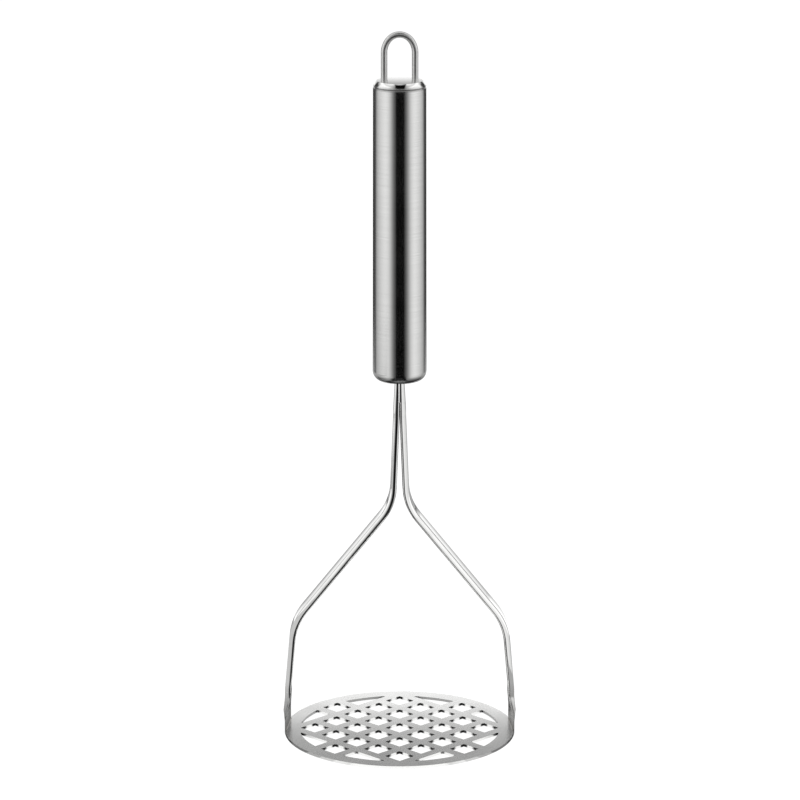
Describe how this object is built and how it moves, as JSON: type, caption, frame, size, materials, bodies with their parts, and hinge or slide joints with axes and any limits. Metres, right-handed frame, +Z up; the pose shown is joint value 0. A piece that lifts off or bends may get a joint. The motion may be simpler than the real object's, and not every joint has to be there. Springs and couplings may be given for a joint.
{
  "type": "potato masher",
  "caption": "Potato masher: round perforated plate carried by two bent steel legs that meet under a straight tubular handle with a polished end cap and a wire hanging loop.",
  "frame": {"origin": "middle of the underside of the mashing plate", "axes": "+Z up along the handle towards the hanging loop, +X to the right leg, +Y to the rear; the legs and the handle stand in a plane 4.3 mm behind the middle of the plate"},
  "size_m": [0.0908, 0.09, 0.2757],
  "materials": {
    "plate_satin": "satin stainless steel, lightly brushed",
    "leg_polished": "polished stainless steel strip",
    "handle_brushed": "stainless steel, brushed round the handle",
    "cap_polished": "mirror-polished stainless steel",
    "loop_polished": "polished stainless steel wire",
    "weld_polished": "weld metal ground flush and polished",
    "weld_bead": "bare weld metal, slightly dark"
  },
  "bodies": {
    "root": {"mashing_plate": "plate_satin", "right_leg": "leg_polished", "left_leg": "leg_polished", "foot_weld_right": "weld_bead", "foot_weld_left": "weld_bead", "neck_weld_front": "weld_polished", "neck_weld_rear": "weld_polished", "handle_tube": "handle_brushed", "tang_weld": "weld_bead", "end_cap": "cap_polished", "hanging_loop": "loop_polished", "loop_weld_right": "weld_bead", "loop_weld_left": "weld_bead"}
  },
  "joints": []
}
